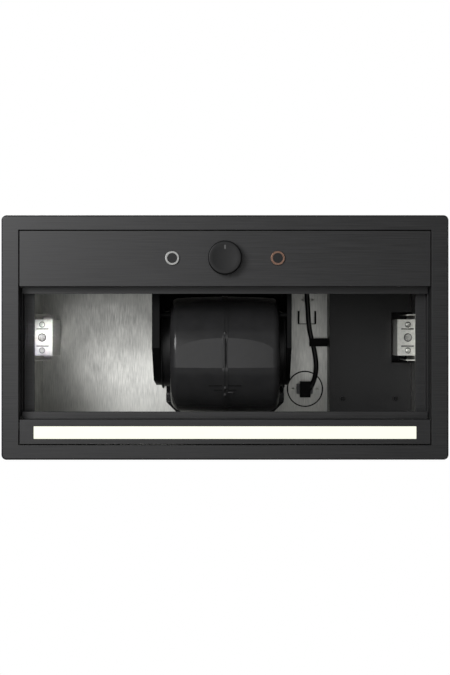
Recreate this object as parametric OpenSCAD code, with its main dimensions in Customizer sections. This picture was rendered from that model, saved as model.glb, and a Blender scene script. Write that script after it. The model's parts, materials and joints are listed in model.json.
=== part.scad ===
// Built-in cooker hood insert, seen open: its grease filter is off, so the blower chamber shows from below.
// +Z is up as it hangs in the cabinet, -Y is the side with the controls, +Y is the side with the lamp.
// The origin is the centre of the flange, on the plane that meets the underside of the cabinet.

/* [Flange] */
// Width of the flange
flange_w = 530; // [520:1:560]
// Depth of the flange
flange_d = 290; // [284:1:320]
// Height of the folded rim
flange_t = 8; // [7:0.5:12]
// Corner radius of the flange in plan
corner_r = 6; // [4:0.5:10]
// Radius of the rolled outer edge
rim_r = 2.5; // [1.5:0.5:2.5]
// Thickness of the black sheet
sheet = 1.2; // [1:0.1:1.5]
// Width of the opening in the flange
opening_w = 489; // [480:1:489]
// Depth of the opening in the flange
opening_d = 254.8; // [254.8:0.1:256]

/* [Housing] */
// Height of the chamber's ceiling above the flange
ceiling_z = 205; // [205:1:230]
// Thickness of the galvanised sheet
wall = 1; // [0.8:0.1:1.2]
// Height of the flange's inner collar above the flange
collar_h = 30; // [26:1:36]
// Width of the ledge that carries the filter at each side
rail_w = 13.5; // [10:0.5:16]

/* [Control panel] */
// Rear edge of the control panel
panel_rear_y = -60.8; // [-62:0.1:-58]
// Front-to-back place of the knob and buttons
control_y = -94; // [-97:1:-91]
// Diameter of the knob
knob_d = 40; // [36:1:44]
// Height of the knob
knob_h = 14; // [12:1:18]
// Distance of each button from the knob's axis
button_x = 62.5; // [55:0.5:75]
// Diameter of a button's ring
button_ring_d = 17; // [16:0.5:19]
// Travel of a button
button_travel = 1.5; // [1:0.1:2]
// Depth of the stiffening ledge behind each panel
ledge_d = 8.4; // [6:0.2:10]

/* [Lamp] */
// Front edge of the lamp panel
lamp_front_y = 97.2; // [96:0.1:98]
// Length of the lit lens
lens_w = 453; // [400:1:456]
// Width of the lit lens
lens_d = 14.6; // [12:0.2:15]
// Number of light-emitting diodes
led_count = 30; // [10:1:40]

/* [Blower] */
// Front-to-back place of the impeller's axis
blower_y = 14; // [12:1:16]
// Height of the impeller's axis
blower_z = 118; // [116:1:120]
// Width of the blower casing
volute_w = 136; // [130:1:140]
// Radius of the impeller
impeller_r = 50; // [46:1:51]
// Number of impeller blades
blade_count = 32; // [20:1:40]

/* [Outlet] */
// Outside diameter of the duct spigot
spigot_d = 150; // [148:1:150]
// Length of the duct spigot
spigot_h = 48; // [40:1:60]
// Front-to-back place of the spigot's axis
spigot_y = 52; // [50:1:53]

/* [Clamps] */
// Thinnest cabinet panel that the clamps hold
clamp_min = 12; // [10:1:14]
// Diameter of the clamp screw's thread
clamp_screw_d = 5; // [4:1:5]

/* [Lead] */
// Diameter of the blower lead
lead_d = 6.4; // [6:0.1:7]

/* [Hidden] */
$fn = 64;
eps = 0.5;
face_z = -flange_t;
ox = opening_w / 2;
oy = opening_d / 2;
// inside and outside faces of the housing walls, which stand against the flange's collar
in_x = ox + sheet;
in_y = oy + sheet;
out_x = in_x + wall;
out_y = in_y + wall;
panel_gap = 1.2;
panel_x = ox - panel_gap;
dish_r = 180;
knob_face_z = face_z - knob_h + 1;
ledge_z = 12;
rail_z = collar_h;
rail_y0 = panel_rear_y + 0.8;
rail_y1 = lamp_front_y - 1.2;
lens_y = lamp_front_y + 15.4;
top_skirt = 12;

// the casing's spiral: t is 0 at the front, 90 underneath and 180 at the back
spiral_0 = 66;
spiral_gain = 8 / 90;
tongue_t = -120;
casing_t = 2.2;
casing_side = 2.5;
half_w = volute_w / 2;
belly_z = blower_z - 71.8;
casing_top = ceiling_z - 0.1;
tongue_y = blower_y - spiral_r(tongue_t) * cos(tongue_t);
back_y = blower_y + spiral_r(180);
inlet_r = 46;
ring_left = 12;
ring_right = 8;
blade_half = 59;
cheek_t = 2;
cheek_left = half_w + 20;
cheek_right = half_w + 12;
foot_z = ceiling_z - 6;
foot_y0 = -62;
foot_y1 = -36;
cap_z = face_z - button_travel - 0.1;

plenum_h = 18;
plenum_x = 78;
plenum_y0 = -25;
plenum_y1 = 129;
plenum_z = ceiling_z + wall;
collar_z = plenum_z + plenum_h;
spigot_r = spigot_d / 2;
spigot_wall = 1.8;
flap_z = collar_z + 12;
flap_r = spigot_r - spigot_wall - 1.7;
flap_t = 1.2;
flap_root = 3.4;
pin_r = 1.5;

// clamp bracket, measured from the middle of the hood
br_in = 221.8;
br_out = in_x - 0.05;
br_z = 122;
br_top = 196;
br_half = 23.2;
br_t = 1.5;
screw_x = 235;
screw_r = clamp_screw_d / 2;
nut_z = 138;
leaf_x = out_x + 1.5;
leaf_t = 1.5;

box_x = 138;
box_z = ceiling_z - 41;
socket_x = 108;
socket_y = 69.4;
socket_r = 23;
gland_x = 200;
gland_y = -60;

lead_r = lead_d / 2;
lead_sides = 10;
// places on the blower lead's middle line, from the connector to the control box
LEAD_ROUTE = [
    [112, 70, 190], [116, 65, 191], [120, 57, 194], [122.5, 46, 198], [123, 36, 200],
    [121.5, 23, 201], [119, 11, 201], [116, 0, 201], [113, -16, 201], [112, -34, 201],
    [111, -50, 201], [110, -66, 199], [108, -80, 191], [104, -88, 178], [99, -91, 162],
    [94, -92, 144], [90, -93, 124], [87, -94, 104], [85, -94, 84], [84, -94, 64], [84, -94, 36]
];

function spiral_r(t) = spiral_0 + spiral_gain * t;
function spiral_point(t, inset) = [
    blower_y - (spiral_r(t) - inset) * cos(t),
    max(blower_z - (spiral_r(t) - inset) * sin(t), belly_z + inset)
];
// the casing's outline from the tongue round the belly to the back wall, and up both walls of the outlet
function casing_outline(inset, top) = concat(
    [for (t = [tongue_t : 6 : 180]) spiral_point(t, inset)],
    [[back_y - inset, top], [tongue_y + inset, top]]
);

// a box from its lowest to its highest corner
module span(a, b) translate(a) cube(b - a);

// a slab from z0 up to z1 with round corners, whose lower outer edge is rolled
module rolled_slab(w, d, z0, z1, r, roll) {
    x = w / 2;
    y = d / 2;
    span([r - x, roll - y, z0], [x - r, y - roll, z1]);
    span([roll - x, r - y, z0], [x - roll, y - r, z1]);
    span([r - x, -y, z0 + roll], [x - r, y, z1]);
    span([-x, r - y, z0 + roll], [x, y - r, z1]);
    for (s = [-1, 1]) {
        translate([r - x, s * (y - roll), z0 + roll]) rotate([0, 90, 0]) cylinder(r = roll, h = w - 2 * r);
        translate([s * (x - roll), y - r, z0 + roll]) rotate([90, 0, 0]) cylinder(r = roll, h = d - 2 * r);
    }
    for (sx = [-1, 1], sy = [-1, 1])
        translate([sx * (x - r), sy * (y - r), z0]) rotate_extrude() union() {
            square([r - roll, z1 - z0]);
            translate([0, roll]) square([r, z1 - z0 - roll]);
            translate([r - roll, roll]) circle(roll);
        }
}

// carries an outline drawn in (y, z) along X from x0 to x1
module along_x(x0, x1) translate([x0, 0, 0]) rotate([90, 0, 90]) linear_extrude(x1 - x0) children();
module x_rod(x0, x1, y, z, r) translate([x0, y, z]) rotate([0, 90, 0]) cylinder(r = r, h = x1 - x0);
module z_rod(x, y, z0, z1, r) translate([x, y, z0]) cylinder(r = r, h = z1 - z0);
module z_tube(x, y, z0, z1, r, bore)
    difference() {
        z_rod(x, y, z0, z1, r);
        z_rod(x, y, z0 - eps, z1 + eps, bore);
    }

// ---- flange and filter rails ----
module face_frame()
    color("#3a3a3a") difference() {
        union() {
            difference() {
                rolled_slab(flange_w, flange_d, face_z, 0, corner_r, rim_r);
                // the folded rim is hollow, and its upper lip turns inwards
                translate([0, 0, face_z + sheet]) linear_extrude(flange_t - 2 * sheet) difference() {
                    square([flange_w - 2 * rim_r, flange_d - 2 * rim_r], center = true);
                    square([2 * in_x, 2 * in_y], center = true);
                }
                translate([0, 0, -sheet - eps]) linear_extrude(sheet + 2 * eps)
                    square([2 * out_x + 3, 2 * out_y + 3], center = true);
            }
            translate([0, 0, face_z]) linear_extrude(collar_h - face_z)
                square([2 * in_x, 2 * in_y], center = true);
        }
        translate([0, 0, face_z - eps]) linear_extrude(collar_h - face_z + 2 * eps)
            square([2 * ox, 2 * oy], center = true);
    }

module filter_rail(side)
    color("#2c2c2c") mirror([side < 0 ? 1 : 0, 0, 0]) {
        span([ox - rail_w, rail_y0, rail_z], [ox, rail_y1, rail_z + sheet]);
        span([ox - sheet, rail_y0, ledge_z + 3], [ox, rail_y1, rail_z]);
    }

// the tabs that carry a panel on the collar at both ends
module end_ears(y0, y1)
    for (side = [0, 1]) mirror([side, 0, 0]) span([panel_x - sheet, y0, 0], [ox, y1, 8]);

// ---- control panel ----
module control_panel()
    color("#353535") difference() {
        union() {
            span([-panel_x, -oy + panel_gap, face_z], [panel_x, panel_rear_y, face_z + sheet]);
            span([-panel_x, -oy + panel_gap, face_z], [panel_x, -oy + panel_gap + sheet, 10]);
            span([-panel_x, panel_rear_y - sheet, face_z], [panel_x, panel_rear_y, ledge_z + sheet]);
            span([-panel_x, panel_rear_y - sheet, ledge_z], [panel_x, panel_rear_y + ledge_d, ledge_z + sheet]);
            end_ears(-oy + panel_gap, -110);
        }
        z_rod(0, control_y, face_z - eps, face_z + sheet + eps, 4.6);
        for (x = [-1, 1]) z_rod(x * button_x, control_y, face_z - eps, face_z + sheet + eps, 7.1);
    }

module control_box()
    color("#2a2a2c") difference() {
        span([-100, control_y - 26, face_z + sheet], [100, control_y + 26, 40]);
        span([-98, control_y - 24, face_z], [98, control_y + 24, 38]);
        z_rod(84, control_y, 37, 41, lead_r + 0.4);
    }

module control_board()
    color("#1f5a36") {
        span([-80, control_y - 20, 27], [70, control_y + 20, 28.6]);
        for (x = [-60, 48]) span([x, control_y - 12, 28.6], [x + 14, control_y + 10, 36]);
        for (x = [-75, 65], y = [-15, 15]) z_rod(x, control_y + y, 28.6, 38, 3);
    }

module rotary_switch()
    color("#8a8d90") difference() {
        union() {
            span([-12, control_y - 12, -4], [12, control_y + 12, 12]);
            z_rod(0, control_y, face_z - 2.6, -4, 4.5);
        }
        z_rod(0, control_y, face_z - 3, 9, 3.05);
    }

module switch_shaft() color("#b8b8b8") z_rod(0, control_y, face_z - 11, 8, 3);

module control_knob()
    color("#1c1c1c") translate([0, control_y, 0]) difference() {
        rotate_extrude() difference() {
            union() {
                translate([0, face_z - knob_h + 1]) square([knob_d / 2 - 2, knob_h - 2]);
                translate([0, face_z - knob_h + 1]) square([knob_d / 2 - 3, 2]);
                translate([0, face_z - knob_h + 3]) square([knob_d / 2, knob_h - 4]);
                translate([knob_d / 2 - 2, face_z - knob_h + 3]) circle(2);
            }
            // a shallow dish in the face, and the hollow over the switch's nut
            translate([0, face_z - knob_h + 1 - dish_r + 0.8]) circle(dish_r, $fn = 720);
            translate([-eps, face_z - 5]) square([10 + eps, 6]);
        }
        z_rod(0, 0, face_z - 11, face_z, 3);
        span([-1, -15, face_z - knob_h], [1, -10, face_z - knob_h + 2.6]);
    }

module knob_index()
    color("#e8e8e4") span([-1, control_y - 15, knob_face_z + 0.75], [1, control_y - 10, knob_face_z + 1.6]);

module button_ring(x, tint)
    color(tint) difference() {
        union() {
            translate([x, control_y, 0]) rotate_extrude() union() {
                translate([0, face_z - 1.5]) square([button_ring_d / 2, 1.5]);
                translate([0, face_z - 2]) square([button_ring_d / 2 - 0.5, 1]);
                translate([button_ring_d / 2 - 0.5, face_z - 1.5]) circle(0.5, $fn = 24);
            }
            z_rod(x, control_y, face_z, 12, 7);
        }
        z_rod(x, control_y, face_z - 3, 10, 6);
    }

module button_cap(x) color("#202020") z_rod(x, control_y, cap_z, 5, 5.92);

module button_switch(x) color("#303234") z_rod(x, control_y, 12, 24, 7);

module panel_nuts()
    color("#b0b2b4") {
        for (x = [-1, 1]) difference() {
            z_rod_hex(x * button_x, face_z + sheet, face_z + sheet + 3, 10.5);
            z_rod(x * button_x, control_y, face_z, 0, 7.05);
        }
        difference() {
            z_rod_hex(0, face_z - 2, face_z, 7);
            z_rod(0, control_y, face_z - 3, face_z + 1, 4.55);
        }
    }
module z_rod_hex(x, z0, z1, r) translate([x, control_y, z0]) cylinder(r = r, h = z1 - z0, $fn = 6);

// ---- lamp ----
module lamp_panel()
    color("#303030") difference() {
        union() {
            span([-panel_x, lamp_front_y, face_z], [panel_x, oy - panel_gap, face_z + sheet]);
            span([-panel_x, oy - panel_gap - sheet, face_z], [panel_x, oy - panel_gap, 10]);
            span([-panel_x, lamp_front_y, face_z], [panel_x, lamp_front_y + sheet, ledge_z + sheet]);
            span([-panel_x, lamp_front_y - ledge_d, ledge_z], [panel_x, lamp_front_y + sheet, ledge_z + sheet]);
            end_ears(111, oy - panel_gap);
        }
        span([-lens_w / 2 - 0.1, lens_y - lens_d / 2 - 0.1, face_z - 1],
             [lens_w / 2 + 0.1, lens_y + lens_d / 2 + 0.1, face_z + 2]);
    }

module lamp_lens()
    color("#fffff2") {
        span([-lens_w / 2, lens_y - lens_d / 2, face_z + 0.2],
             [lens_w / 2, lens_y + lens_d / 2, face_z + sheet]);
        span([-lens_w / 2 - 3, lens_y - 10, face_z + sheet], [lens_w / 2 + 3, lens_y + 9.5, face_z + 2.7]);
    }

module lamp_channel()
    color("#a8aaac") difference() {
        span([-234, lens_y - 12, face_z + 2.7], [234, lens_y + 11, ledge_z]);
        span([-232.5, lens_y - 10.5, face_z + 2], [232.5, lens_y + 9.5, ledge_z - 1.5]);
    }

module led_board()
    color("#e6e8e0") {
        span([-230, lens_y - 7, ledge_z - 3.1], [230, lens_y + 7, ledge_z - 1.5]);
        for (i = [0 : led_count - 1])
            translate([-225 + 450 * i / (led_count - 1), lens_y, ledge_z - 3.6]) cube([5, 5, 1], center = true);
    }

// ---- housing ----
module housing_front()
    color("#9a9c9e") span([-out_x, -out_y, 2], [out_x, -in_y, ceiling_z]);

module housing_rear()
    color("#9a9c9e") span([-out_x, in_y, 2], [out_x, out_y, ceiling_z]);

module housing_side(side)
    color("#9a9c9e") mirror([side < 0 ? 1 : 0, 0, 0]) difference() {
        span([in_x, -in_y, 2], [out_x, in_y, ceiling_z]);
        span([in_x - eps, -8, nut_z], [out_x + eps, 8, nut_z + 34]);
    }

module housing_top()
    color("#a4a6a8") difference() {
        span([-out_x - wall, -out_y - wall, ceiling_z - top_skirt],
             [out_x + wall, out_y + wall, ceiling_z + wall]);
        span([-out_x, -out_y, ceiling_z - top_skirt - eps], [out_x, out_y, ceiling_z]);
        span([-half_w + 3, tongue_y + 2, ceiling_z - eps], [half_w - 3, back_y - 2, ceiling_z + wall + eps]);
        z_rod(socket_x, socket_y, ceiling_z - eps, ceiling_z + wall + eps, 20);
        z_rod(gland_x, gland_y, ceiling_z - eps, ceiling_z + wall + eps, 8.05);
        // the pressed cable bridge beside the lead
        for (x = [99.5, 122])
            span([x - 1.2, -35.9, ceiling_z - eps], [x + 1.2, -18.4, ceiling_z + 0.6]);
    }

module dome(r, h) intersection() {
    translate([0, 0, h - (r * r + h * h) / (2 * h)]) sphere((r * r + h * h) / (2 * h), $fn = 48);
    cylinder(r = r + 1, h = h);
}

module rivets()
    color("#c2c4c6") {
        for (x = [-200 : 100 : 200], y = [-1, 1])
            translate([x, y * (out_y + wall), ceiling_z - 6]) rotate([-90 * y, 0, 0]) dome(3.2, 1.2);
        for (x = [-1, 1], y = [-90, 0, 90])
            translate([x * (out_x + wall), y, ceiling_z - 6]) rotate([0, 90 * x, 0]) dome(3.2, 1.2);
        for (x = [-1, 1], y = [-1, 1])
            translate([x * screw_x, y * 16.8, br_z]) rotate([180, 0, 0]) dome(3.5, 1.3);
        for (x = [-1, 1])
            translate([socket_x + x * 16.2, socket_y, ceiling_z - 1.2]) rotate([180, 0, 0]) dome(1.8, 0.8);
        for (x = [105.5, 117.8])
            translate([x, -50.9, ceiling_z]) rotate([180, 0, 0]) dome(1.8, 0.8);
    }

// ---- side clamps ----
module clamp_bracket(side)
    color("#d8d8d4") mirror([side < 0 ? 1 : 0, 0, 0]) difference() {
        union() {
            span([br_in, -br_half, br_z], [br_out, br_half, br_z + br_t]);
            span([br_in, -br_half, br_z], [br_in + br_t, br_half, br_top]);
            span([br_out - br_t, -30, br_z - 2], [br_out, 30, br_top]);
            for (y = [-1, 1]) translate([0, y * 29.2, 0])
                span([br_out - 12, -0.7, br_z + 6], [br_out, 0.7, br_top - 6]);
        }
        // the square tongue lanced round the screw
        for (y = [-11, 11])
            span([226.7, y - 0.65, br_z - eps], [242.5, y + 0.65, br_z + br_t + eps]);
        z_rod(screw_x, 0, br_z - eps, br_z + br_t + eps, screw_r + 0.08);
        span([br_out - br_t - eps, -8, nut_z], [br_out + eps, 8, nut_z + 34]);
    }

// the nut rides on the screw inside, and its spring leaf hangs outside over the cabinet panel
module clamp_foot(side)
    color("#c8c9c4") mirror([side < 0 ? 1 : 0, 0, 0]) {
        difference() {
            span([229, -7, nut_z + 1], [leaf_x, 7, nut_z + 11]);
            z_rod(screw_x, 0, nut_z, nut_z + 12, screw_r + 0.05);
        }
        span([leaf_x, -12, clamp_min + 12], [leaf_x + leaf_t, 12, nut_z + 14]);
        translate([0, 12, 0]) rotate([90, 0, 0]) linear_extrude(24) polygon([
            [leaf_x, clamp_min + 12], [leaf_x + leaf_t, clamp_min + 12],
            [leaf_x + 9.5, clamp_min], [leaf_x + 7.5, clamp_min]
        ]);
    }

module clamp_screw(side)
    color("#b8b9b6") mirror([side < 0 ? 1 : 0, 0, 0]) difference() {
        union() {
            z_rod(screw_x, 0, br_z - 3.2, br_z - 0.1, 4.4);
            z_rod(screw_x, 0, br_z - 0.2, br_top - 4, screw_r);
        }
        for (a = [0, 90])
            translate([screw_x, 0, br_z - 3.2]) rotate([0, 0, a]) cube([5, 1.1, 2.4], center = true);
    }

// ---- blower ----
module volute(side)
    color("#181818") mirror([side < 0 ? 1 : 0, 0, 0]) {
        difference() {
            union() {
                along_x(0, half_w) polygon(casing_outline(0, casing_top));
                // the bead along the seam, and the ear that the casing is screwed up by
                along_x(0, 3.5) intersection() {
                    polygon(casing_outline(-1.4, casing_top));
                    translate([-100, 0]) square([blower_y + 185, blower_z + 30]);
                }
                span([half_w, 71, 150], [half_w + 9.5, 84, 158]);
            }
            along_x(-eps, half_w - casing_side) polygon(casing_outline(casing_t, ceiling_z + 1));
            x_rod(half_w - 5, half_w + eps, blower_y, blower_z, inlet_r);
            z_rod(half_w + 5, 77.5, 149, 159, 2);
        }
    }

module inlet_ring(side, depth)
    color("#242424") mirror([side < 0 ? 1 : 0, 0, 0])
        translate([half_w, blower_y, blower_z]) rotate([0, 90, 0]) rotate_extrude() union() {
            translate([inlet_r, 0]) square([2.4, depth - 2]);
            translate([inlet_r, depth - 2]) square([4, 2]);
            translate([inlet_r, 0]) square([6, 1.6]);
            translate([inlet_r + 4, depth - 1]) circle(1, $fn = 24);
        }

// the wheel: its blades, and the end rings and middle disc that hold them
module impeller()
    color("#2e3033") translate([0, blower_y, blower_z]) rotate([0, 90, 0])
        for (i = [0 : blade_count - 1]) rotate([0, 0, 360 * i / blade_count])
            translate([impeller_r - 7.5, 0, -blade_half]) rotate([0, 0, 30])
                cube([7, 1.2, 2 * blade_half]);

module impeller_rings()
    color("#2e3033") translate([0, blower_y, blower_z]) rotate([0, 90, 0]) {
        for (z = [-blade_half - 3, blade_half]) translate([0, 0, z]) difference() {
            cylinder(r = impeller_r, h = 3);
            translate([0, 0, -eps]) cylinder(r = impeller_r - 7, h = 4);
        }
        difference() {
            union() {
                translate([0, 0, 14]) cylinder(r = impeller_r - 8.15, h = 2);
                translate([0, 0, 8]) cylinder(r = 9, h = 14);
            }
            translate([0, 0, 7]) cylinder(r = 4, h = 16);
        }
    }

module motor_shaft() color("#c8c8c8") x_rod(-76, 22, blower_y, blower_z, 4);

module motor()
    color("#5c5f62") difference() {
        union() {
            x_rod(-56, 0, blower_y, blower_z, 30);
            x_rod(0, 4, blower_y, blower_z, 12);
            for (i = [0 : 11]) translate([0, blower_y, blower_z]) rotate([30 * i, 0, 0])
                span([-46, -1.2, 28], [-10, 1.2, 33]);
        }
        x_rod(-57, 5, blower_y, blower_z, 4.05);
    }

module motor_bracket()
    color("#3c3e40") difference() {
        union() {
            x_rod(-74, -56, blower_y, blower_z, 13);
            for (i = [0 : 2]) translate([0, blower_y, blower_z]) rotate([120 * i + 60, 0, 0])
                span([-74, -5, 10], [-71, 5, inlet_r - 0.28]);
        }
        x_rod(-75, -55, blower_y, blower_z, 4.05);
    }

module cheek_outline() polygon([
    [-60, 52], [13, 52], [54, 92], [62, 150], [62, casing_top],
    [-35.8, casing_top], [-35.8, foot_z - 0.1], [-60, foot_z - 0.1]
]);

// a plate with a rim turned in towards the inlet ring
module blower_cheek(side, x, rim)
    color("#161616") mirror([side < 0 ? 1 : 0, 0, 0]) {
        along_x(x - rim, x) difference() {
            cheek_outline();
            offset(delta = -1.6) cheek_outline();
        }
        difference() {
            along_x(x, x + cheek_t) cheek_outline();
            x_rod(x - eps, x + cheek_t + eps, blower_y, blower_z, 39);
        }
        for (p = [[-28, 80], [-28, 156], [56, 156]]) x_rod(half_w, x, p[0], p[1], 3.4);
    }

module blower_foot()
    color("#141414") span([-94, foot_y0, foot_z], [90, foot_y1, ceiling_z]);

module screw_head(r, h) difference() {
    cylinder(r = r, h = h);
    for (a = [0, 90]) translate([0, 0, h]) rotate([0, 0, a]) cube([r * 1.3, 0.7, h], center = true);
}

module screws()
    color("#d4d4d0") {
        for (x = [-1, 1])
            translate([x * (half_w + 5), 77.5, 150]) rotate([180, 0, 0]) screw_head(3.2, 2);
        for (x = [155, 225], y = [-80.6, 80.6])
            translate([x, y, box_z]) rotate([180, 0, 0]) screw_head(3, 1.6);
        for (x = [-40, 40]) translate([x, -49, foot_z]) rotate([180, 0, 0]) screw_head(3.4, 2);
        for (x = [-68, 68], y = [-70, 70])
            translate([x, spigot_y + y, collar_z]) screw_head(2.6, 1.8);
    }

// ---- outlet ----
module outlet_adapter()
    color("#9fa1a3") difference() {
        span([-plenum_x, plenum_y0, plenum_z], [plenum_x, plenum_y1, collar_z]);
        span([-plenum_x + 2, plenum_y0 + 2, plenum_z - eps], [plenum_x - 2, plenum_y1 - 2, collar_z - 2]);
        z_rod(0, spigot_y, plenum_z, collar_z + eps, spigot_r - spigot_wall);
    }

module duct_collar()
    color("#2b2b2b") difference() {
        z_rod(0, spigot_y, collar_z, collar_z + spigot_h, spigot_r);
        difference() {
            z_rod(0, spigot_y, collar_z - eps, collar_z + spigot_h + eps, spigot_r - spigot_wall);
            for (y = [-1, 1]) translate([0, spigot_y + y * (spigot_r - 5), 0])
                span([-6, -3, flap_z - 4], [6, 3, flap_z - flap_t / 2 - 0.05]);
        }
        x_rod(-spigot_r - 1, spigot_r + 1, spigot_y, flap_z, pin_r + 0.02);
    }

// half of the non-return valve: side is -1 for the front leaf and 1 for the rear leaf
module flap(side, knuckles)
    color("#7a7c7e") difference() {
        union() {
            translate([0, spigot_y, flap_z - flap_t / 2]) linear_extrude(flap_t) intersection() {
                circle(flap_r);
                translate([-100, side > 0 ? flap_root : -100]) square([200, 100 - flap_root]);
            }
            for (x = knuckles) {
                x_rod(x, x + 22, spigot_y, flap_z, 3);
                translate([0, spigot_y, 0])
                    span([x, side > 0 ? 0 : -flap_root - 1, flap_z - flap_t / 2],
                         [x + 22, side > 0 ? flap_root + 1 : 0, flap_z + flap_t / 2]);
            }
        }
        x_rod(-spigot_r, spigot_r, spigot_y, flap_z, pin_r + 0.05);
    }

module flap_pin() color("#c0c0c0") x_rod(-spigot_r + 0.3, spigot_r - 0.3, spigot_y, flap_z, pin_r);

// ---- electrics ----
module electronics_cover()
    color("#1d1d1d") difference() {
        span([box_x, -112, box_z], [in_x - 0.1, 112, ceiling_z]);
        span([box_x + wall, -111, box_z + wall], [in_x - 1.1, 111, ceiling_z + eps]);
        // room for the clamp bracket, which the cover is cut round
        span([br_in - 2, -33, box_z - eps], [in_x + eps, 33, ceiling_z + eps]);
    }

module power_board()
    color("#1f5a36") {
        span([146, 40, 186], [232, 104, 187.6]);
        for (x = [151, 227], y = [45, 99]) z_rod(x, y, box_z + wall, 186, 3);
        span([152, 48, 187.6], [184, 78, 203]);
        for (x = [196, 208, 220]) z_rod(x, 92, 187.6, 200, 4.5);
        span([196, 50, 187.6], [222, 74, 196]);
    }

module terminal_block()
    color("#e4e2da") difference() {
        span([176, -100, box_z + wall], [224, -84, box_z + 17]);
        for (i = [0 : 3]) z_rod(182 + 12 * i, -92, box_z + 9, box_z + 18, 2.5);
    }

module mains_gland()
    color("#2a2a2a") difference() {
        union() {
            z_rod(gland_x, gland_y, ceiling_z - 8, ceiling_z + wall + 16, 8);
            translate([gland_x, gland_y, ceiling_z + wall]) cylinder(r = 12, h = 6, $fn = 6);
            translate([gland_x, gland_y, ceiling_z + wall + 9]) cylinder(r = 11, h = 6, $fn = 6);
            translate([gland_x, gland_y, ceiling_z - 5]) cylinder(r = 12, h = 5, $fn = 6);
        }
        z_rod(gland_x, gland_y, ceiling_z - 9, ceiling_z + wall + 17, 4.2);
    }

module socket_plate()
    color("#a8aaac") z_tube(socket_x, socket_y, ceiling_z - 1.2, ceiling_z, socket_r, 6);

module socket()
    color("#8c8e90")
        span([socket_x - 11.5, socket_y - 7, 196.5], [socket_x + 10, socket_y + 6.5, ceiling_z - 1.2]);

module connector()
    color("#1a1a1a") span([socket_x - 7.5, socket_y - 10.5, 181], [socket_x + 6, socket_y + 10.5, 196.5]);

module cable_clip()
    color("#161616") difference() {
        span([114, 1, 196], [box_x, 12, ceiling_z]);
        translate([117.6, 6.5, 201]) rotate([90, 0, -14.5]) cylinder(r = lead_r + 0.1, h = 30, center = true);
    }

// ---- the blower lead: a round tube swept along its route ----
function unit(v) = v / norm(v);
function lead_dir(i) = unit(LEAD_ROUTE[min(i + 1, len(LEAD_ROUTE) - 1)] - LEAD_ROUTE[max(i - 1, 0)]);
function lead_side(i) = unit(cross(lead_dir(i), [1, 0, 0.02]));
function lead_ring(i) = [
    for (k = [0 : lead_sides - 1])
        let (a = 360 * k / lead_sides)
            LEAD_ROUTE[i] + lead_r * (cos(a) * lead_side(i) + sin(a) * cross(lead_dir(i), lead_side(i)))
];
module blower_lead() {
    rings = len(LEAD_ROUTE);
    color("#141414") polyhedron(
        points = [for (i = [0 : rings - 1]) each lead_ring(i)],
        faces = concat(
            [[for (k = [0 : lead_sides - 1]) k]],
            [for (i = [0 : rings - 2], k = [0 : lead_sides - 1]) [
                i * lead_sides + k, (i + 1) * lead_sides + k,
                (i + 1) * lead_sides + (k + 1) % lead_sides, i * lead_sides + (k + 1) % lead_sides
            ]],
            [[for (k = [lead_sides - 1 : -1 : 0]) (rings - 1) * lead_sides + k]]
        )
    );
}

face_frame();
filter_rail(-1);  // filter_rail_left
filter_rail(1);  // filter_rail_right
control_panel();
control_box();
control_board();
rotary_switch();
switch_shaft();
control_knob();
knob_index();
button_ring(-button_x, "#c8c8c8");  // light_button_ring
button_cap(-button_x);  // light_button
button_switch(-button_x);  // light_switch
button_ring(button_x, "#b08a72");  // boost_button_ring
button_cap(button_x);  // boost_button
button_switch(button_x);  // boost_switch
panel_nuts();
lamp_panel();
lamp_lens();
lamp_channel();
led_board();
housing_front();
housing_rear();
housing_side(-1);  // housing_left
housing_side(1);  // housing_right
housing_top();
rivets();
clamp_bracket(-1);  // clamp_bracket_left
clamp_foot(-1);  // clamp_foot_left
clamp_screw(-1);  // clamp_screw_left
clamp_bracket(1);  // clamp_bracket_right
clamp_foot(1);  // clamp_foot_right
clamp_screw(1);  // clamp_screw_right
volute(-1);  // volute_left
volute(1);  // volute_right
inlet_ring(-1, ring_left);  // inlet_ring_left
inlet_ring(1, ring_right);  // inlet_ring_right
impeller();
impeller_rings();
motor_shaft();
motor();
motor_bracket();
blower_cheek(-1, cheek_left, cheek_left - half_w - ring_left - 0.5);  // blower_cheek_left
blower_cheek(1, cheek_right, cheek_right - half_w - ring_right - 0.5);  // blower_cheek_right
blower_foot();
screws();
outlet_adapter();
duct_collar();
flap(-1, [-60, 13]);  // flap_front
flap(1, [-36, 38]);  // flap_rear
flap_pin();
electronics_cover();
power_board();
terminal_block();
mains_gland();
socket_plate();
socket();
connector();
blower_lead();
cable_clip();
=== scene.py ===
"""Built-in cooker hood insert, seen from below with its grease filter off."""
import json
import math

import bpy
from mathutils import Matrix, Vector


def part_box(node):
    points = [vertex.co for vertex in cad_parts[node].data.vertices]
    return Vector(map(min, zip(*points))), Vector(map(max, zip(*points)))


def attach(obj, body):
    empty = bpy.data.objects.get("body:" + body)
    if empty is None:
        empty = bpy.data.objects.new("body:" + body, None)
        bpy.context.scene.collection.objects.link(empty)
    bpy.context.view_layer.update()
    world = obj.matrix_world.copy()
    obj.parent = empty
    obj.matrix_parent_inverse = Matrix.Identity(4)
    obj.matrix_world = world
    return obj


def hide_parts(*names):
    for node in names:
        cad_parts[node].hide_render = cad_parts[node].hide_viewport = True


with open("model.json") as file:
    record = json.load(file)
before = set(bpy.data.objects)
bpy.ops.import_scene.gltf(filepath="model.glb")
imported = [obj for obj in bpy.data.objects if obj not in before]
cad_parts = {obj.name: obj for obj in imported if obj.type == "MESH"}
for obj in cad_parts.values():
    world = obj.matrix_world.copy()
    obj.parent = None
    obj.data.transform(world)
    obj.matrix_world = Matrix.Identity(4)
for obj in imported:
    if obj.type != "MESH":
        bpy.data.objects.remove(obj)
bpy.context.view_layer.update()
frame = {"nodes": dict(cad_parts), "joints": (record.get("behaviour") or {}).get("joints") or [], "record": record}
MM = 0.001
ROOT = "hood"


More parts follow.
